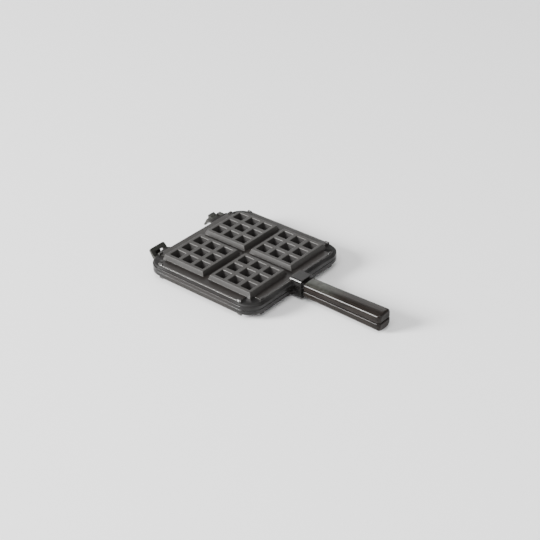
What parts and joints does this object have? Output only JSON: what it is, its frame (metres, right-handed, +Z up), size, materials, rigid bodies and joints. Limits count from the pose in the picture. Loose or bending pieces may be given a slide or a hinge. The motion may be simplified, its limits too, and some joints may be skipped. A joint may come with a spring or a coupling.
{
  "type": "stovetop waffle iron",
  "caption": "Two hinged cast plates with raised square waffle blocks that close face to face, each with a long moulded grip.",
  "frame": {"origin": "under the middle of the whole length, on the plane that the lower waffle blocks stand on", "axes": "+Y along the grips from their ends towards the hinge, +Z up out of the upper plate, +X across the plates"},
  "size_m": [0.2126, 0.391, 0.0372],
  "materials": {
    "plate_casting": "dark grey non-stick coating on cast aluminium, satin",
    "grip_plastic": "black phenolic moulding, glossy",
    "screw_steel": "zinc plated"
  },
  "bodies": {
    "lower": {"lower_plate": "plate_casting", "lower_grip": "grip_plastic", "lower_handle_screws": "screw_steel", "lower_lock_washers": "screw_steel"},
    "upper": {"upper_plate": "plate_casting", "upper_grip": "grip_plastic", "upper_handle_screws": "screw_steel", "upper_lock_washers": "screw_steel"}
  },
  "joints": [
    {"name": "hinge", "type": "hinge", "parent": "lower", "child": "upper", "pos_m": [0, 0.19095, 0.0186], "axis": [-1, 0, 0], "range_deg": [0, 105]}
  ]
}
